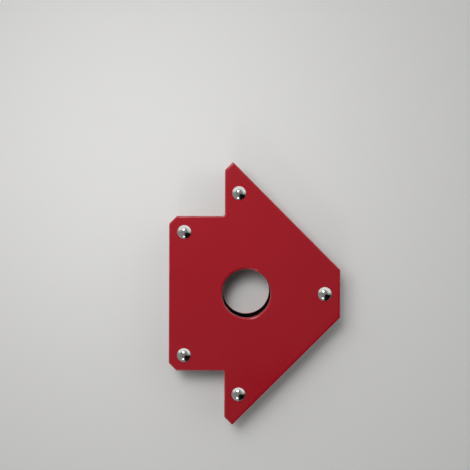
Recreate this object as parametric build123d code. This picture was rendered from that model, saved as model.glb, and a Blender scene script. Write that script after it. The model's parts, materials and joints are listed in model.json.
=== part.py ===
from build123d import *

import math
import os

# Arrow-shaped magnetic welding positioner, lying on its back.
# Two red powder-coated steel pole plates hold a black moulded core between them. The core
# locates flat ferrite block magnets, and five semi-tubular rivets clamp the sandwich, each
# through a steel distance sleeve. A round hole goes through the whole thickness.
#
# Frame: +X runs from the square tail to the nose, +Y from barb tip to barb tip, +Z out of the
# front plate. The origin is the centre of the footprint, on the surface the part rests on.
# The layout is drawn about the centre of the round hole, and HOLE_X moves it to the origin.

# ---------------------------------------------------------------- driving dimensions, mm
TAIL_REACH = 38.25        # hole centre to the tail edge, and to each tail side: the tail is square
NOSE_REACH = 46.40        # hole centre to the flat nose edge
DIAGONAL_SUM = 58.20      # x + |y| along the two 45 degree working edges
BARB_BACK = 10.72         # hole centre back to the edge behind each barb
TIP_Y = 65.00             # barb tip, before its corner is rounded
TAIL_CHAMFER = 3.85       # 45 degree cut on the two tail corners
CORNER_R = 1.0            # rounding of the outline's corners, seen face on
TIP_R = 0.5               # rounding of the two barb tips
NOTCH_R = 0.9             # inside corner between tail side and barb

PLATE_T = 1.5             # pole plate thickness
CORE_T = 12.0             # gap between the plates, and the thickness of the ferrite blocks
EDGE_R = 0.8              # roll-over on the outer edge of a stamped, coated plate
HOLE_EDGE_R = 1.0         # wider roll-over at the punched round hole
BURR_C = 0.2              # small break on the inner edge of a plate
CORE_RECESS = 0.8         # the core stands back from the plate edges by this much
CORE_CORNER_R = 0.8       # rounding of the core's corners, seen face on
CORE_EDGE_C = 0.35        # chamfer on the core's outer edges

HOLE_R = 12.0             # round hole through all
SHANK_R = 2.0             # rivet shank
RIVET_HOLE_R = 2.1        # hole for it in plates and sleeve
HEAD_R = 3.4              # rivet head radius
HEAD_H = 1.7              # rivet head height
HEAD_LAND = 0.35          # short upright edge under the dome
CLINCH_R = 3.2            # rolled-over tail of the rivet
CLINCH_H = 1.3            # how far it stands off the back plate
SLEEVE_R = 3.5            # distance sleeve, outside
SLEEVE_BORE_R = 3.55      # hole for it in the core

BARB_RIVET = (-3.75, 49.60)      # from the hole centre, mirrored in Y
TAIL_RIVET = (-30.70, 30.35)     # mirrored in Y
NOSE_RIVET = (38.65, 0.0)

MAGNET_L, MAGNET_W = 40.0, 20.0  # main ferrite blocks
SHOULDER_L, SHOULDER_W = 14.0, 12.0
POCKET_CLEAR = 0.1               # gap around a magnet in its pocket
POCKET_R = 0.5                   # pocket corner radius
MAGNET_C = 0.6                   # chamfer on a magnet's upright edges
TAIL_MAGNET_X = -25.85           # centre of the block behind the tail edge
DIAGONAL_MAGNET_N = 26.90        # hole centre to the middle of a diagonal block, square to the edge
DIAGONAL_MAGNET_S = -6.0         # and its shift along the edge, towards the barb
SHOULDER_MAGNET = (-16.6, 28.6)  # mirrored in Y

# ---------------------------------------------------------------- derived
HOLE_X = -(NOSE_REACH - TAIL_REACH) / 2      # hole centre from the origin
Z_BACK = CLINCH_H                            # outer face of the back plate
Z_CORE = Z_BACK + PLATE_T                    # back plate to core
Z_FRONT = Z_CORE + CORE_T                    # core to front plate
Z_TOP = Z_FRONT + PLATE_T                    # outer face of the front plate

HALF_OUTLINE = [
    (-TAIL_REACH, TAIL_REACH - TAIL_CHAMFER),
    (-TAIL_REACH + TAIL_CHAMFER, TAIL_REACH),
    (-BARB_BACK, TAIL_REACH),
    (-BARB_BACK, TIP_Y - (BARB_BACK - (TIP_Y - DIAGONAL_SUM))),
    (DIAGONAL_SUM - TIP_Y, TIP_Y),
    (NOSE_REACH, DIAGONAL_SUM - NOSE_REACH),
]
CORNER_RADII = [CORNER_R, CORNER_R, NOTCH_R, CORNER_R, TIP_R, CORNER_R]

BARB_RIVETS = [(BARB_RIVET[0], s * BARB_RIVET[1]) for s in (1, -1)]
TAIL_RIVETS = [(TAIL_RIVET[0], s * TAIL_RIVET[1]) for s in (1, -1)]
RIVETS = {
    "upper_barb": BARB_RIVETS[0],
    "lower_barb": BARB_RIVETS[1],
    "upper_tail": TAIL_RIVETS[0],
    "lower_tail": TAIL_RIVETS[1],
    "nose": NOSE_RIVET,
}
R2 = math.sqrt(0.5)
DIAGONAL_CENTRE = (
    R2 * (DIAGONAL_MAGNET_N + DIAGONAL_MAGNET_S),
    R2 * (DIAGONAL_MAGNET_N - DIAGONAL_MAGNET_S),
)
# name: (centre x, centre y, turn about Z, length, width)
MAGNETS = {
    "magnet_upper_diagonal": (DIAGONAL_CENTRE[0], DIAGONAL_CENTRE[1], -45, MAGNET_L, MAGNET_W),
    "magnet_lower_diagonal": (DIAGONAL_CENTRE[0], -DIAGONAL_CENTRE[1], 45, MAGNET_L, MAGNET_W),
    "magnet_tail": (TAIL_MAGNET_X, 0, 90, MAGNET_L, MAGNET_W),
    "magnet_upper_shoulder": (SHOULDER_MAGNET[0], SHOULDER_MAGNET[1], 0, SHOULDER_L, SHOULDER_W),
    "magnet_lower_shoulder": (SHOULDER_MAGNET[0], -SHOULDER_MAGNET[1], 0, SHOULDER_L, SHOULDER_W),
}


# ---------------------------------------------------------------- helpers
def inset_polygon(points, inset):
    """The corners of a closed polygon whose every side has moved inward by inset."""
    out = []
    for i, (x, y) in enumerate(points):
        (xa, ya), (xb, yb) = points[i - 1], points[(i + 1) % len(points)]
        ax, ay, bx, by = x - xa, y - ya, xb - x, yb - y
        la, lb = math.hypot(ax, ay), math.hypot(bx, by)
        ax, ay, bx, by = ax / la, ay / la, bx / lb, by / lb
        # The outline runs clockwise, so the inside lies to the right of each side.
        turn = ax * by - ay * bx
        along = inset * (1 - ax * bx - ay * by) / turn
        out.append((x + ay * inset + ax * along, y - ax * inset + ay * along))
    return out


def outline(inset=0.0, radii=CORNER_RADII):
    """The arrow outline about the hole centre, its sides moved inward by inset and its corners rounded."""
    upper = HALF_OUTLINE
    lower = [(x, -y) for x, y in reversed(upper)]
    points = inset_polygon(upper + lower, inset)
    radii = list(radii) + list(reversed(radii))
    face = make_face(Polyline(*points, close=True))
    for (x, y), r in zip(points, radii):
        corner = min(face.vertices(), key=lambda v: (v.X - x) ** 2 + (v.Y - y) ** 2)
        face = fillet(corner, r)
    return face


def at(z):
    return Pos(HOLE_X, 0, z)


def prism(sketch, z, height):
    return extrude(at(z) * sketch, amount=height, dir=(0, 0, 1))


def cylinder(x, y, r, z, height):
    return Pos(HOLE_X + x, y, z) * Cylinder(r, height, align=(Align.CENTER, Align.CENTER, Align.MIN))


def round_hole(x, y, r, z, height):
    """A cutting cylinder that runs 1 mm past both faces."""
    return cylinder(x, y, r, z - 1, height + 2)


def on_plane(edge, z):
    box = edge.bounding_box()
    return abs(box.min.Z - z) < 1e-4 and abs(box.max.Z - z) < 1e-4


def is_hole_rim(edge, r):
    """A rim of the round hole, told from the outline by its distance from the hole centre."""
    mid = edge.position_at(0.5)
    return abs(math.hypot(mid.X - HOLE_X, mid.Y) - r) < 0.01


def plate(z_outer, z_inner):
    """A pole plate: rounded on its outer side, slightly broken on its inner side."""
    low, high = min(z_outer, z_inner), max(z_outer, z_inner)
    body = prism(outline(), low, high - low) - round_hole(0, 0, HOLE_R, low, high - low)
    rim = body.edges().filter_by(lambda e: on_plane(e, z_outer))
    hole = [e for e in rim if is_hole_rim(e, HOLE_R)]
    edge = [e for e in rim if not is_hole_rim(e, HOLE_R)]
    body = fillet(edge, EDGE_R)
    hole = [e for e in body.edges() if on_plane(e, z_outer) and is_hole_rim(e, HOLE_R)]
    body = fillet(hole, HOLE_EDGE_R)
    inner = [e for e in body.edges() if on_plane(e, z_inner) and not is_hole_rim(e, HOLE_R)]
    body = chamfer(inner, BURR_C)
    for x, y in RIVETS.values():
        body -= round_hole(x, y, RIVET_HOLE_R, low, high - low)
    return body


def core():
    """The moulded core between the plates, with through pockets for the magnets."""
    body = prism(outline(CORE_RECESS, [CORE_CORNER_R] * len(HALF_OUTLINE)), Z_CORE, CORE_T)
    edges = [e for e in body.edges() if on_plane(e, Z_CORE) or on_plane(e, Z_FRONT)]
    body = chamfer(edges, CORE_EDGE_C)
    body -= round_hole(0, 0, HOLE_R, Z_CORE, CORE_T)
    rims = [
        e
        for e in body.edges()
        if (on_plane(e, Z_CORE) or on_plane(e, Z_FRONT)) and is_hole_rim(e, HOLE_R)
    ]
    body = chamfer(rims, CORE_EDGE_C)
    for x, y in RIVETS.values():
        body -= round_hole(x, y, SLEEVE_BORE_R, Z_CORE, CORE_T)
    for x, y, turn, length, width in MAGNETS.values():
        pocket = RectangleRounded(length + 2 * POCKET_CLEAR, width + 2 * POCKET_CLEAR, POCKET_R)
        body -= prism(Pos(x, y) * Rot(0, 0, turn) * pocket, Z_CORE - 1, CORE_T + 2)
    return body


def magnet(x, y, turn, length, width):
    """A pressed and ground ferrite block that fills the gap between the plates."""
    block = extrude(Rectangle(length, width), amount=CORE_T)
    block = chamfer(block.edges().filter_by(Axis.Z), MAGNET_C)
    return Pos(HOLE_X + x, y, Z_CORE) * Rot(0, 0, turn) * block


def rivet(x, y):
    """A semi-tubular rivet: domed head in front, its tubular tail rolled over at the back."""
    dome_h = HEAD_H - HEAD_LAND
    # Half section in the XZ plane, radius along X.
    head = [
        Line((0, Z_TOP + HEAD_H), (0, 5.2)),                                    # axis
        Line((0, 5.2), (1.25, 4.4)),                                            # drill point
        Line((1.25, 4.4), (1.25, CLINCH_H - 0.1)),                              # tubular bore
        ThreePointArc((1.25, CLINCH_H - 0.1), (1.42, 0.35), (2.15, 0.0)),       # flare into the roll
        ThreePointArc((2.15, 0.0), (2.92, 0.35), (CLINCH_R, CLINCH_H - 0.15)),  # outside of the roll
        Line((CLINCH_R, CLINCH_H - 0.15), (CLINCH_R, CLINCH_H)),
        Line((CLINCH_R, CLINCH_H), (SHANK_R, CLINCH_H)),                        # seat on the back plate
        Line((SHANK_R, CLINCH_H), (SHANK_R, Z_TOP)),                            # shank
        Line((SHANK_R, Z_TOP), (HEAD_R, Z_TOP)),                                # seat on the front plate
        Line((HEAD_R, Z_TOP), (HEAD_R, Z_TOP + HEAD_LAND)),
    ]
    dome_r = (HEAD_R**2 + dome_h**2) / (2 * dome_h)
    rise = Z_TOP + HEAD_H - dome_r
    half = math.atan2(HEAD_R, Z_TOP + HEAD_LAND - rise) / 2
    dome = ThreePointArc(
        (HEAD_R, Z_TOP + HEAD_LAND),
        (dome_r * math.sin(half), rise + dome_r * math.cos(half)),
        (0, Z_TOP + HEAD_H),
    )
    section = make_face(Plane.XZ * Curve(head + [dome]))
    return Pos(HOLE_X + x, y, 0) * revolve(section, axis=Axis.Z)


def sleeve(x, y):
    """A plain steel distance tube around a rivet shank."""
    tube = Cylinder(SLEEVE_R, CORE_T, align=(Align.CENTER, Align.CENTER, Align.MIN))
    tube -= Cylinder(RIVET_HOLE_R, CORE_T, align=(Align.CENTER, Align.CENTER, Align.MIN))
    ends = [e for e in tube.edges() if e.geom_type == GeomType.CIRCLE and abs(e.radius - SLEEVE_R) < 1e-6]
    return Pos(HOLE_X + x, y, Z_CORE) * chamfer(ends, 0.25)


# ---------------------------------------------------------------- parts
def build():
    parts = {
        "front_plate": plate(Z_TOP, Z_FRONT),
        "back_plate": plate(Z_BACK, Z_CORE),
        "core_frame": core(),
    }
    for name, values in MAGNETS.items():
        parts[name] = magnet(*values)
    for name, (x, y) in RIVETS.items():
        parts["rivet_" + name] = rivet(x, y)
        parts["sleeve_" + name] = sleeve(x, y)
    return parts


def main():
    os.makedirs("parts", exist_ok=True)
    for name, shape in build().items():
        solids = shape.solids()
        if len(solids) != 1:
            raise SystemExit(f"{name} came out as {len(solids)} solids")
        solid = solids[0]
        solid.label = name
        export_step(solid, f"parts/{name}.step")
        print(name, round(solid.volume), "mm3")


main()
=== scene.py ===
import json
import math
import random

import bmesh
import bpy
from mathutils import Matrix, Vector

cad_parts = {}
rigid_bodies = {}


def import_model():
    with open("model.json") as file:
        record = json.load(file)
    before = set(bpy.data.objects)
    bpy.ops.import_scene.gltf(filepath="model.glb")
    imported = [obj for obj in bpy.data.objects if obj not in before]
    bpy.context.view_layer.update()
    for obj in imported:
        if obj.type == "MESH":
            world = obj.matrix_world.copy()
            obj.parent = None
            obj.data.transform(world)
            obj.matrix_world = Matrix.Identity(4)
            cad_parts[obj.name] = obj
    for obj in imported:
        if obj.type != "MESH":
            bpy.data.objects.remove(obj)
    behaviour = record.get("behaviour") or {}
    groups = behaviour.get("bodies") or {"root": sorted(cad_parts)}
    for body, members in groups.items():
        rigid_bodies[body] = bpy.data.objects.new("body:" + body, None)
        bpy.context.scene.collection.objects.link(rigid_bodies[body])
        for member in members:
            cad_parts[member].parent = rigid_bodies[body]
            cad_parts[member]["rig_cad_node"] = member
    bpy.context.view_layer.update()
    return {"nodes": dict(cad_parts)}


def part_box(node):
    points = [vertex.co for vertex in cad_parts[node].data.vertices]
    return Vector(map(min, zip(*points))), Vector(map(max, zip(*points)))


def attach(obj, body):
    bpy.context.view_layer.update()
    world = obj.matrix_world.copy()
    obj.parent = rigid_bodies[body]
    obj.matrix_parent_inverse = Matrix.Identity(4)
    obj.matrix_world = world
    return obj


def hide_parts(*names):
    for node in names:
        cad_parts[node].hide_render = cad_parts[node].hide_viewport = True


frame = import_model()
MM = 0.001

# ------------------------------------------------------------------ geometry of the part, in mm
# The outline about the round hole's centre, one half, from the tail to the nose.
TAIL, NOSE, DIAGONAL, BARB_BACK, TIP = 38.25, 46.40, 58.20, 10.72, 65.00
HALF = [
    (-TAIL, TAIL - 3.85, 1.0),
    (-TAIL + 3.85, TAIL, 1.0),
    (-BARB_BACK, TAIL, 0.9),
    (-BARB_BACK, TIP - (BARB_BACK - (TIP - DIAGONAL)), 1.0),
    (DIAGONAL - TIP, TIP, 0.5),
    (NOSE, DIAGONAL - NOSE, 1.0),
]
HOLE_R = 12.0


def mm_box(node):
    lo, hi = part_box(node)
    return lo / MM, hi / MM


plate_lo, plate_hi = mm_box("front_plate")
back_lo, back_hi = mm_box("back_plate")
core_lo, core_hi = mm_box("core_frame")
HOLE_X = plate_hi.x - NOSE
Z_TOP, Z_FRONT = plate_hi.z, plate_lo.z
Z_BACK, Z_CORE = back_lo.z, back_hi.z
RIVETS = {}
for key in ("upper_barb", "lower_barb", "upper_tail", "lower_tail", "nose"):
    lo, hi = mm_box("rivet_" + key)
    RIVETS[key] = ((lo.x + hi.x) / 2, (lo.y + hi.y) / 2, lo.z, hi.z)


def inset_polygon(points, inset):
    """The corners of a clockwise closed polygon whose every side has moved inward by inset."""
    out = []
    for i, (x, y) in enumerate(points):
        (xa, ya), (xb, yb) = points[i - 1], points[(i + 1) % len(points)]
        a = Vector((x - xa, y - ya)).normalized()
        b = Vector((xb - x, yb - y)).normalized()
        along = inset * (1 - a.dot(b)) / (a.x * b.y - a.y * b.x)
        out.append((x + a.y * inset + a.x * along, y - a.x * inset + a.y * along))
    return out


def outline_ring(inset, step_mm=0.22, core_radius=None):
    """Points round the outline with its sides moved inward by inset, the same number for every inset."""
    pts = [(x, y, r if core_radius is None else core_radius) for x, y, r in HALF]
    pts += [(x, -y, r) for x, y, r in reversed(pts)]
    corners = inset_polygon([p[:2] for p in pts], inset)
    n = len(corners)
    ring = []
    for i, (x, y) in enumerate(corners):
        a = (Vector(corners[i]) - Vector(corners[i - 1])).normalized()
        b = (Vector(corners[(i + 1) % n]) - Vector(corners[i])).normalized()
        turn = math.atan2(a.x * b.y - a.y * b.x, a.dot(b))
        convex = 1 if turn < 0 else -1
        r0 = pts[i][2]
        r = max(r0 - inset * convex, 0.08)
        start = Vector((x, y)) - a * (r * math.tan(abs(turn) / 2))
        centre = start + Vector((a.y, -a.x)) * (convex * r)
        a0 = math.atan2(start.y - centre.y, start.x - centre.x)
        steps = max(4, math.ceil(abs(turn) * r0 / step_mm))
        for k in range(steps + 1):
            t = a0 + turn * k / steps
            ring.append((centre.x + HOLE_X + r * math.cos(t), centre.y + r * math.sin(t)))
    # Long sides get points along them, so that no face is a very long sliver.
    out = []
    for i, p in enumerate(ring):
        q = ring[(i + 1) % len(ring)]
        out.append(p)
        count = LONG_COUNTS[i] if i < len(LONG_COUNTS) else 1
        for k in range(1, count):
            out.append((p[0] + (q[0] - p[0]) * k / count, p[1] + (q[1] - p[1]) * k / count))
    return out


LONG_COUNTS = []
_plain = outline_ring(0.0)
LONG_COUNTS = [
    max(1, round(math.dist(p, _plain[(i + 1) % len(_plain)]) / 3.0)) for i, p in enumerate(_plain)
]


def circle_ring(cx, cy, r, n):
    return [(cx + r * math.cos(2 * math.pi * k / n), cy + r * math.sin(2 * math.pi * k / n)) for k in range(n)]


def rounded_rectangle(cx, cy, length, width, turn_deg, r, n=6):
    ring = []
    t = math.radians(turn_deg)
    for sx, sy, a0 in ((1, 1, 0), (-1, 1, 90), (-1, -1, 180), (1, -1, 270)):
        for k in range(n + 1):
            a = math.radians(a0 + 90 * k / n)
            x = sx * (length / 2 - r) + r * math.cos(a)
            y = sy * (width / 2 - r) + r * math.sin(a)
            ring.append((cx + x * math.cos(t) - y * math.sin(t), cy + x * math.sin(t) + y * math.cos(t)))
    return ring


class Solid:
    """Collects rings of points into one closed mesh."""

    def __init__(self):
        self.bm = bmesh.new()
        self.edge = self.bm.verts.layers.float.new("edge_wear")

    def wall(self, rings, wear=None):
        """rings is a list of (points, z), all of one length. Returns the vertices of each ring."""
        rows = []
        for k, (points, z) in enumerate(rings):
            zs = z if isinstance(z, (list, tuple)) else [z] * len(points)
            row = []
            for (x, y), zz in zip(points, zs):
                v = self.bm.verts.new((x * MM, y * MM, zz * MM))
                v[self.edge] = wear[k] if wear else 0.0
                row.append(v)
            rows.append(row)
        for a, b in zip(rows, rows[1:]):
            n = len(a)
            for i in range(n):
                j = (i + 1) % n
                self.bm.faces.new((a[i], a[j], b[j], b[i]))
        return rows

    def cap(self, *loops):
        edges = []
        for row in loops:
            for i in range(len(row)):
                e = self.bm.edges.get((row[i], row[(i + 1) % len(row)]))
                if e is None:
                    e = self.bm.edges.new((row[i], row[(i + 1) % len(row)]))
                edges.append(e)
        bmesh.ops.triangle_fill(self.bm, use_beauty=True, use_dissolve=False, edges=edges)

    def finish(self, name, angle=32.0, origin=(0, 0, 0)):
        bmesh.ops.recalc_face_normals(self.bm, faces=self.bm.faces)
        loose = [v for v in self.bm.verts if not v.link_faces]
        bmesh.ops.delete(self.bm, geom=loose, context="VERTS")
        mesh = bpy.data.meshes.new(name)
        self.bm.to_mesh(mesh)
        self.bm.free()
        if origin != (0, 0, 0):
            mesh.transform(Matrix.Translation(-Vector(origin)))
        for p in mesh.polygons:
            p.use_smooth = True
        mesh.set_sharp_from_angle(angle=math.radians(angle))
        obj = bpy.data.objects.new(name, mesh)
        obj.location = origin
        bpy.context.scene.collection.objects.link(obj)
        return obj


# ------------------------------------------------------------------ shader helpers
class Graph:
    def __init__(self, tree):
        self.t = tree
        self.x = 0

    def node(self, kind, **inputs):
        n = self.t.nodes.new(kind)
        n.location = (self.x, 0)
        self.x += 40
        for k, v in inputs.items():
            if k.startswith("p_"):
                setattr(n, k[2:], v)
        for k, v in inputs.items():
            if not k.startswith("p_"):
                self.put(n, k, v)
        return n

    def put(self, n, key, v):
        sock = n.inputs[int(key[1:])] if key[0] == "_" and key[1:].isdigit() else n.inputs[key.replace("_", " ")]
        if isinstance(v, bpy.types.NodeSocket):
            self.t.links.new(v, sock)
        else:
            sock.default_value = v

    def math(self, op, a, b=0.0, c=0.0, clamp=False):
        n = self.node("ShaderNodeMath", p_operation=op, p_use_clamp=clamp, _0=a, _1=b, _2=c)
        return n.outputs[0]

    def span(self, v, lo, hi, to_lo=0.0, to_hi=1.0, smooth=True):
        n = self.node("ShaderNodeMapRange", p_interpolation_type="SMOOTHSTEP" if smooth else "LINEAR")
        for k, x in zip(("Value", "From Min", "From Max", "To Min", "To Max"), (v, lo, hi, to_lo, to_hi)):
            self.put(n, k, x)
        return n.outputs[0]

    def noise(self, vec, scale, detail=2.0, rough=0.5, dist=0.0):
        n = self.node("ShaderNodeTexNoise", Vector=vec, Scale=scale, Detail=detail, Roughness=rough, Distortion=dist)
        return n.outputs["Fac"]

    def mix(self, fac, a, b, kind="MIX"):
        n = self.node("ShaderNodeMix", p_data_type="RGBA", p_blend_type=kind)
        self.put(n, "_0", fac)
        self.put(n, "_6", a)
        self.put(n, "_7", b)
        return n.outputs[2]

    def scaled(self, vec, sx, sy, sz):
        n = self.node("ShaderNodeMapping", Vector=vec)
        n.inputs["Scale"].default_value = (sx, sy, sz)
        return n.outputs[0]

    def bump(self, height, distance, strength=1.0, normal=None):
        n = self.node("ShaderNodeBump", Height=height, Strength=strength, Distance=distance)
        if normal is not None:
            self.put(n, "Normal", normal)
        return n.outputs[0]


def material(name):
    m = bpy.data.materials.new(name)
    m.use_nodes = True
    m.node_tree.nodes.clear()
    g = Graph(m.node_tree)
    out = m.node_tree.nodes.new("ShaderNodeOutputMaterial")
    bsdf = m.node_tree.nodes.new("ShaderNodeBsdfPrincipled")
    m.node_tree.links.new(bsdf.outputs[0], out.inputs[0])
    coords = m.node_tree.nodes.new("ShaderNodeTexCoord")
    return m, g, bsdf, coords


def powder_coat():
    """Red polyester powder coat, satin gloss: fine orange peel, thinner and lighter over the edges."""
    m, g, b, tc = material("red_powder_coat")
    p = tc.outputs["Object"]
    wear = g.node("ShaderNodeAttribute", p_attribute_name="edge_wear").outputs["Fac"]
    cloud = g.noise(p, 38.0, 2.0, 0.45)
    grain = g.noise(p, 5200.0, 2.0, 0.6)
    fleck = g.noise(p, 2300.0, 1.0, 0.5)
    base = g.mix(g.span(cloud, 0.30, 0.70), (0.389, 0.0028, 0.0128, 1), (0.404, 0.0036, 0.0142, 1))
    base = g.mix(g.math("MULTIPLY", g.span(grain, 0.45, 0.62), 0.35), base, (0.356, 0.0028, 0.0114, 1))
    base = g.mix(g.math("MULTIPLY", g.span(fleck, 0.70, 0.76), 0.30), base, (0.50, 0.03, 0.035, 1))
    rubbed = g.math("MULTIPLY", wear, g.span(g.noise(p, 420.0, 4.0, 0.65), 0.35, 0.70), clamp=True)
    base = g.mix(g.math("MULTIPLY", rubbed, 0.45), base, (0.58, 0.035, 0.040, 1))
    g.put(b, "Base Color", base)
    rough = g.span(g.noise(p, 900.0, 3.0, 0.6), 0.3, 0.7, 0.098, 0.122)
    rough = g.math("ADD", rough, g.math("MULTIPLY", grain, 0.03))
    g.put(b, "Roughness", rough)
    b.inputs["IOR"].default_value = 1.55
    peel = g.noise(p, 720.0, 2.0, 0.45, 0.4)
    fine = g.noise(p, 2600.0, 2.0, 0.5)
    height = g.math("ADD", peel, g.math("MULTIPLY", fine, 0.22))
    g.put(b, "Normal", g.bump(height, 0.00003, 0.27))
    return m


def moulded_black(name="black_core", shade=1.0, specular=0.40):
    """Black glass-filled nylon, as moulded: dull, with faint flow marks and fibre grain."""
    m, g, b, tc = material(name)
    p = tc.outputs["Object"]
    flow = g.noise(g.scaled(p, 60, 60, 420), 1.0, 4.0, 0.6, 0.8)
    grain = g.noise(p, 3800.0, 3.0, 0.6)
    # shade scales every tone; below 1 it gives a darker copy of the black that paints shade.
    tone = [tuple(shade * c for c in rgb) + (1,) for rgb in ((0.0070, 0.0070, 0.0074), (0.0120, 0.0118, 0.0120), (0.020, 0.020, 0.021))]
    base = g.mix(g.span(flow, 0.3, 0.7), tone[0], tone[1])
    base = g.mix(g.math("MULTIPLY", g.span(grain, 0.55, 0.70), 0.5), base, tone[2])
    g.put(b, "Base Color", base)
    g.put(b, "Roughness", g.span(flow, 0.3, 0.7, 0.46, 0.62))
    b.inputs["IOR"].default_value = 1.45
    b.inputs["Specular IOR Level"].default_value = specular
    height = g.math("ADD", g.math("MULTIPLY", flow, 0.5), grain)
    g.put(b, "Normal", g.bump(height, 0.00004, 0.5))
    return m


def nickel():
    """Bright nickel plate over a formed steel rivet: fine rings from the tool, small dents and handling marks."""
    m, g, b, tc = material("nickel_plate")
    p = tc.outputs["Object"]
    s = g.node("ShaderNodeSeparateXYZ", Vector=p)
    r = g.math("SQRT", g.math("ADD", g.math("POWER", s.outputs[0], 2.0), g.math("POWER", s.outputs[1], 2.0)))
    turned = g.noise(g.node("ShaderNodeCombineXYZ", X=g.math("MULTIPLY", r, 5200.0), Y=g.math("MULTIPLY", s.outputs[2], 3000.0)).outputs[0], 1.0, 3.0, 0.6)
    mottle = g.noise(p, 900.0, 4.0, 0.6)
    base = g.mix(g.span(mottle, 0.3, 0.7), (0.62, 0.623, 0.600, 1), (0.71, 0.713, 0.690, 1))
    g.put(b, "Base Color", base)
    b.inputs["Metallic"].default_value = 1.0
    rough = g.math("ADD", g.span(mottle, 0.3, 0.75, 0.07, 0.14), g.math("MULTIPLY", turned, 0.05))
    g.put(b, "Roughness", rough)
    dent = g.noise(p, 420.0, 1.0, 0.4)
    height = g.math("ADD", g.math("MULTIPLY", turned, 0.10), dent)
    g.put(b, "Normal", g.bump(height, 0.00006, 0.26))
    return m


def ferrite():
    """Sintered ferrite, pressed and ground: dark grey, dry, with grinding lines on its two pole faces."""
    m, g, b, tc = material("ferrite")
    p = tc.outputs["Object"]
    ground = g.noise(g.scaled(p, 260, 5200, 260), 1.0, 3.0, 0.6)
    pores = g.noise(p, 3100.0, 3.0, 0.65)
    base = g.mix(g.span(g.noise(p, 120.0, 3.0), 0.3, 0.7), (0.028, 0.028, 0.031, 1), (0.046, 0.046, 0.050, 1))
    base = g.mix(g.math("MULTIPLY", g.span(pores, 0.60, 0.72), 0.7), base, (0.012, 0.012, 0.013, 1))
    g.put(b, "Base Color", base)
    g.put(b, "Roughness", g.span(ground, 0.3, 0.7, 0.45, 0.70))
    g.put(b, "Normal", g.bump(g.math("ADD", g.math("MULTIPLY", ground, 0.6), pores), 0.00005, 0.5))
    return m


def zinc():
    """Cut steel tube with thin zinc plate: turned ends, drawn lines along its length."""
    m, g, b, tc = material("zinc_steel")
    p = tc.outputs["Object"]
    drawn = g.noise(g.scaled(p, 4200, 4200, 160), 1.0, 3.0, 0.6)
    bloom = g.noise(p, 700.0, 4.0, 0.6)
    base = g.mix(g.span(bloom, 0.3, 0.7), (0.42, 0.43, 0.46, 1), (0.56, 0.57, 0.58, 1))
    g.put(b, "Base Color", base)
    b.inputs["Metallic"].default_value = 1.0
    g.put(b, "Roughness", g.span(drawn, 0.3, 0.7, 0.26, 0.42))
    g.put(b, "Normal", g.bump(drawn, 0.00003, 0.4))
    return m


def paper_floor():
    m, g, b, tc = material("pale_floor")
    p = tc.outputs["Object"]
    cloud = g.noise(p, 6.0, 3.0, 0.5)
    base = g.mix(cloud, (0.850, 0.845, 0.830, 1), (0.880, 0.875, 0.860, 1))
    g.put(b, "Base Color", base)
    g.put(b, "Roughness", g.span(cloud, 0.3, 0.7, 0.80, 0.90))
    b.inputs["Specular IOR Level"].default_value = 0.2
    g.put(b, "Normal", g.bump(g.noise(p, 900.0, 3.0, 0.6), 0.00003, 0.3))
    return m


RED, BLACK, NICKEL, FERRITE, ZINC = powder_coat(), moulded_black(), nickel(), ferrite(), zinc()
# A darker, shineless copy of the core black for the bore's wall: painted shade for the shade inside the hole.
BORE_PAINTED_SHADE = moulded_black("black_core_bore_painted_shade", shade=0.45, specular=0.0)


def dress(obj, mat):
    obj.data.materials.clear()
    obj.data.materials.append(mat)
    if "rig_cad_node" not in obj:
        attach(obj, "root")


# ------------------------------------------------------------------ plates
EDGE_R, HOLE_EDGE_R, BURR = 0.80, 1.00, 0.20
BEAD = 0.018  # powder builds up a little just inside an edge


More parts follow.
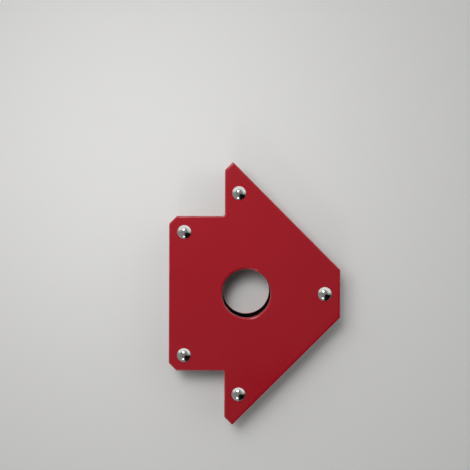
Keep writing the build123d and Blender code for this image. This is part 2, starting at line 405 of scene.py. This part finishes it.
def plate(name, z_outer, z_inner):
    """A stamped and coated pole plate. Its outer side is rolled over at every edge."""
    up = 1 if z_outer > z_inner else -1
    s = Solid()
    rings, wear = [], []
    for inset, drop in ((2.4, 0.0), (1.9, -0.35 * BEAD), (1.45, -BEAD), (1.1, -0.7 * BEAD), (0.92, -0.2 * BEAD)):
        rings.append((outline_ring(inset), z_outer - up * drop))
        wear.append(0.0)
    steps = 9
    for k in range(steps + 1):
        a = math.pi / 2 * k / steps
        rings.append((outline_ring(EDGE_R * (1 - math.sin(a))), z_outer - up * EDGE_R * (1 - math.cos(a))))
        wear.append(math.sin(a * 2) ** 2)
    for k, t in enumerate((0.25, 0.5, 0.75, 1.0)):
        rings.append((outline_ring(0.0), z_outer - up * (EDGE_R + (abs(z_outer - z_inner) - EDGE_R - BURR) * t)))
        wear.append(0.0 if t < 1 else 0.5)
    rings.append((outline_ring(BURR * 0.3), z_inner + up * BURR * 0.3))
    wear.append(0.5)
    rings.append((outline_ring(BURR), z_inner))
    wear.append(0.0)
    outer = s.wall(rings, wear)
    n = 144
    rings, wear = [], []
    for grow, drop in ((3.1, 0.0), (2.3, -0.35 * BEAD), (1.7, -BEAD), (1.3, -0.7 * BEAD), (1.12, -0.2 * BEAD)):
        rings.append((circle_ring(HOLE_X, 0, HOLE_R + grow, n), z_outer - up * drop))
        wear.append(0.0)
    for k in range(10 + 1):
        a = math.pi / 2 * k / 10
        rings.append((circle_ring(HOLE_X, 0, HOLE_R + HOLE_EDGE_R * (1 - math.sin(a)), n), z_outer - up * HOLE_EDGE_R * (1 - math.cos(a))))
        wear.append(math.sin(a * 2) ** 2)
    rings.append((circle_ring(HOLE_X, 0, HOLE_R, n), z_inner + up * (abs(z_outer - z_inner) - HOLE_EDGE_R) / 2))
    rings.append((circle_ring(HOLE_X, 0, HOLE_R, n), z_inner))
    wear += [0.0, 0.0]
    hole = s.wall(rings, wear)
    rivet_rows = []
    for x, y, _, _ in RIVETS.values():
        rings = [
            (circle_ring(x, y, 4.3, 48), z_outer),
            (circle_ring(x, y, 4.0, 48), z_outer - up * 0.003),
            (circle_ring(x, y, 3.7, 48), z_outer - up * 0.012),
            (circle_ring(x, y, 3.2, 48), z_outer - up * 0.02),
            (circle_ring(x, y, 2.25, 48), z_outer - up * 0.02),
            (circle_ring(x, y, 2.1, 48), z_outer - up * 0.15),
            (circle_ring(x, y, 2.1, 48), z_inner),
        ]
        rivet_rows.append(s.wall(rings, [0.0] * len(rings)))
    s.cap(outer[0], hole[0], *[r[0] for r in rivet_rows])
    s.cap(outer[-1], hole[-1], *[r[-1] for r in rivet_rows])
    return s.finish(name)


front = plate("front_plate_coated", Z_TOP, Z_FRONT)
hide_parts("front_plate")
dress(front, RED)
rear = plate("back_plate_coated", Z_BACK, Z_CORE)
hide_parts("back_plate")
dress(rear, RED)


# ------------------------------------------------------------------ core
def core():
    """The moulded core: draft to the parting line at mid-height, a fine flash line there, softened edges."""
    inset0, zc = 0.8, (Z_CORE + Z_FRONT) / 2
    s = Solid()
    profile = [
        (0.35, Z_CORE), (0.22, Z_CORE + 0.06), (0.10, Z_CORE + 0.16), (0.05, Z_CORE + 0.35),
        (0.035, Z_CORE + 1.5), (0.012, zc - 0.32), (0.0, zc - 0.13), (-0.10, zc - 0.06), (-0.12, zc),
        (-0.10, zc + 0.06), (0.0, zc + 0.13), (0.012, zc + 0.32), (0.035, Z_FRONT - 1.5),
        (0.05, Z_FRONT - 0.35), (0.10, Z_FRONT - 0.16), (0.22, Z_FRONT - 0.06), (0.35, Z_FRONT),
    ]
    outer = s.wall([(outline_ring(inset0 + d, core_radius=1.6), z) for d, z in profile])
    hole = s.wall([(circle_ring(HOLE_X, 0, HOLE_R + d * (0.9 if d > 0 else 0.6), 144), z) for d, z in profile])
    rows = []
    for key in RIVETS:
        x, y = RIVETS[key][:2]
        rows.append(s.wall([(circle_ring(x, y, 3.55, 40), z) for z in (Z_CORE, zc, Z_FRONT)]))
    for node in ("magnet_upper_diagonal", "magnet_lower_diagonal", "magnet_tail", "magnet_upper_shoulder", "magnet_lower_shoulder"):
        lo, hi = mm_box(node)
        cx, cy = (lo.x + hi.x) / 2, (lo.y + hi.y) / 2
        if "diagonal" in node:
            length, width, turn = 40.2, 20.2, -45 if "upper" in node else 45
        else:
            length, width, turn = hi.x - lo.x + 0.2, hi.y - lo.y + 0.2, 0
        ring = rounded_rectangle(cx, cy, length, width, turn, 0.5)
        rows.append(s.wall([(ring, z) for z in (Z_CORE, zc, Z_FRONT)]))
    s.cap(outer[0], hole[0], *[r[0] for r in rows])
    s.cap(outer[-1], hole[-1], *[r[-1] for r in rows])
    return s.finish("core_moulding", angle=40)


moulding = core()
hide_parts("core_frame")
dress(moulding, BLACK)
# The bore's wall gets a darker copy of the moulded black with its shine taken out: painted shade for the shade
# inside the hole.
moulding.data.materials.append(BORE_PAINTED_SHADE)
for p in moulding.data.polygons:
    c = p.center / MM
    if abs(math.hypot(c.x - HOLE_X, c.y) - HOLE_R) < 0.5 and abs(p.normal.z) < 0.9:
        p.material_index = 1


# ------------------------------------------------------------------ rivets
def rivet(key, seed):
    """Semi-tubular rivet: domed head, shank, and a tubular end curled over the back plate."""
    rnd = random.Random(seed)
    x, y, z_low, z_high = RIVETS[key]
    n = 96
    head_r, head_h = 3.4, z_high - Z_TOP
    land = 0.35
    dome_h = head_h - land
    dome_r = (head_r**2 + dome_h**2) / (2 * dome_h)
    cz = z_high - dome_r
    a_end = math.asin((head_r - 0.05) / dome_r)
    profile = []
    for k in range(1, 23):
        a = a_end * k / 22
        profile.append((dome_r * math.sin(a), cz + dome_r * math.cos(a)))
    z0 = profile[-1][1]
    profile += [(head_r - 0.015, z0 - 0.045), (head_r, z0 - 0.10), (head_r - 0.02, Z_TOP + 0.05), (head_r - 0.10, Z_TOP), (2.7, Z_TOP - 0.005), (2.05, Z_TOP - 0.01), (2.0, Z_TOP - 0.1)]
    profile += [(2.0, Z_FRONT), (2.0, Z_CORE), (2.0, Z_BACK + 0.1), (2.12, Z_BACK)]
    # the curl: out over the back plate, round and back into the bore
    cr, cc = 0.63, (2.55, Z_BACK - 0.66)
    curl = []
    for k in range(0, 15):
        a = math.radians(78 - k * 19)
        curl.append((cc[0] + cr * math.cos(a), cc[1] + (cr + 0.02) * math.sin(a)))
    profile += curl
    bore = [(1.45, 0.75), (1.30, 1.15), (1.25, 1.6), (1.25, 4.4), (0.62, 4.85)]
    profile += bore
    s = Solid()
    phase = rnd.uniform(0, math.tau)
    lobes = [rnd.uniform(-1, 1) for _ in range(7)]
    rings = []
    first_curl = len(profile) - len(bore) - len(curl)
    for i, (r, z) in enumerate(profile):
        pts, zs = [], []
        t = 0.0
        if first_curl <= i < first_curl + len(curl):
            t = math.sin(math.pi * (i - first_curl + 0.5) / len(curl))
        for k in range(n):
            a = math.tau * k / n
            wob = 0.0
            if t:
                f = ((a + phase) / math.tau * 6) % 6
                cell = int(f)
                u = abs(f - cell - 0.5) * 2
                split = max(0.0, (u - 0.80) / 0.20) ** 2
                wob = t * (0.020 * lobes[cell % 6] - 0.10 * split * (0.6 + 0.4 * lobes[(cell + 1) % 7]))
            rr = r + wob
            pts.append((rr * math.cos(a), rr * math.sin(a)))
            zs.append(max(z - wob * 0.35, z_low))
        rings.append((pts, zs))
    rows = s.wall(rings)
    top = s.bm.verts.new((0, 0, z_high * MM))
    low = s.bm.verts.new((0, 0, 5.2 * MM))
    for row, tip in ((rows[0], top), (rows[-1], low)):
        for i in range(n):
            s.bm.faces.new((row[i], row[(i + 1) % n], tip))
    obj = s.finish("rivet_" + key + "_plated", angle=50)
    obj.location = (x * MM, y * MM, 0)
    obj.rotation_euler = (0, 0, rnd.uniform(0, math.tau))
    return obj


for i, key in enumerate(RIVETS):
    piece = rivet(key, 11 + i)
    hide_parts("rivet_" + key)
    dress(piece, NICKEL)

for name, node in frame["nodes"].items():
    if name.startswith("magnet"):
        dress(node, FERRITE)
    elif name.startswith("sleeve"):
        dress(node, ZINC)
    elif name.endswith("plate"):
        dress(node, RED)
    elif name == "core_frame":
        dress(node, BLACK)
    elif name.startswith("rivet"):
        dress(node, NICKEL)

# ------------------------------------------------------------------ floor, light, camera
bm = bmesh.new()
bmesh.ops.create_circle(bm, cap_ends=True, segments=96, radius=6.0)
mesh = bpy.data.meshes.new("floor")
bm.to_mesh(mesh)
bm.free()
floor = bpy.data.objects.new("floor", mesh)
floor.data.materials.append(paper_floor())
bpy.context.scene.collection.objects.link(floor)

AIM = Vector((-0.004, 0.0, 0.016))


def lamp(name, azimuth, elevation, distance, size, power, colour=(1, 1, 1), shape="DISK", size_y=None, aim=AIM):
    """A soft area light. Azimuth is counted from +X towards +Y, in degrees."""
    a, e = math.radians(azimuth), math.radians(elevation)
    where = aim + distance * Vector((math.cos(a) * math.cos(e), math.sin(a) * math.cos(e), math.sin(e)))
    data = bpy.data.lights.new(name, "AREA")
    data.shape = shape
    data.size = size
    if size_y:
        data.size_y = size_y
    data.energy = power
    data.color = colour
    obj = bpy.data.objects.new(name, data)
    obj.location = where
    obj.rotation_mode = "QUATERNION"
    obj.rotation_quaternion = (aim - where).to_track_quat("-Z", "Y")
    bpy.context.scene.collection.objects.link(obj)
    return obj


lamp("key", 112, 61, 0.90, 0.24, 1.4)
# The same window again for the gloss only, so that rounded edges gleam without the plate getting paler.
gleam = lamp("gleam", 112, 61, 0.90, 0.24, 2.0)
gleam.visible_diffuse = False
lamp("second", -103, 34, 0.80, 0.13, 0.36)
gleam_low = lamp("gleam_low", -103, 34, 0.80, 0.13, 0.55)
gleam_low.visible_diffuse = False
# The main light stands close, so the plate gets darker away from it. It leaves no mirror image on the gloss.
near = lamp("near", 127, 60, 0.24, 0.13, 0.215)
near.visible_glossy = False
near.visible_camera = False

world = bpy.data.worlds.new("studio")
bpy.context.scene.world = world
world.use_nodes = True
world.node_tree.nodes.clear()
g = Graph(world.node_tree)
wout = g.node("ShaderNodeOutputWorld")
coords = g.node("ShaderNodeTexCoord")
d = g.node("ShaderNodeSeparateXYZ", Vector=coords.outputs["Generated"])
dx, dy, dz = d.outputs
flat = g.math("SQRT", g.math("ADD", g.math("MULTIPLY", dx, dx), g.math("MULTIPLY", dy, dy)))
flat = g.math("MAXIMUM", flat, 0.0001)
ux, uy = g.math("DIVIDE", dx, flat), g.math("DIVIDE", dy, flat)


def towards(azimuth):
    a = math.radians(azimuth)
    return g.math("ADD", g.math("MULTIPLY", ux, math.cos(a)), g.math("MULTIPLY", uy, math.sin(a)))


level = g.span(dz, 0.55, 0.95, 0.31, 0.24)
top_band = g.math("MULTIPLY", g.span(towards(85), -0.10, 0.45), g.span(dz, 0.84, 0.58))
level = g.math("ADD", level, g.math("MULTIPLY", top_band, 0.68))
dark = g.math("MULTIPLY", g.span(towards(-50), 0.76, 0.86), g.span(flat, 0.22, 0.34))
level = g.math("MULTIPLY", level, g.span(dark, 0.0, 1.0, 1.0, 0.015))
bg = g.node("ShaderNodeBackground", Color=(1.0, 1.0, 1.0, 1))
path = g.node("ShaderNodeLightPath")
# The surroundings show brighter in gloss than they light the matt surfaces.
level = g.math("MULTIPLY", level, g.span(path.outputs["Is Diffuse Ray"], 0.0, 1.0, 1.0, 0.66, smooth=False))
g.put(bg, "Strength", level)
seen = g.node("ShaderNodeBackground", Color=(1.0, 0.998, 0.985, 1), Strength=g.span(dz, 0.0, 0.40, 0.36, 0.66))
blend = g.node("ShaderNodeMixShader")
g.put(blend, "_0", path.outputs["Is Camera Ray"])
g.put(blend, "_1", bg.outputs[0])
g.put(blend, "_2", seen.outputs[0])
world.node_tree.links.new(blend.outputs[0], wout.inputs[0])

cam_data = bpy.data.cameras.new("camera")
cam_data.sensor_width = 36.0
cam_data.lens = 40.86
cam = bpy.data.objects.new("camera", cam_data)
cam.location = (-0.00980, 0.03512, 0.2793)
cam_data.shift_y = -0.02684
cam.rotation_euler = (0, 0, math.radians(0.2))
bpy.context.scene.collection.objects.link(cam)
bpy.context.scene.camera = cam
bpy.context.scene.view_settings.view_transform = "Standard"
bpy.context.scene.view_settings.look = "None"
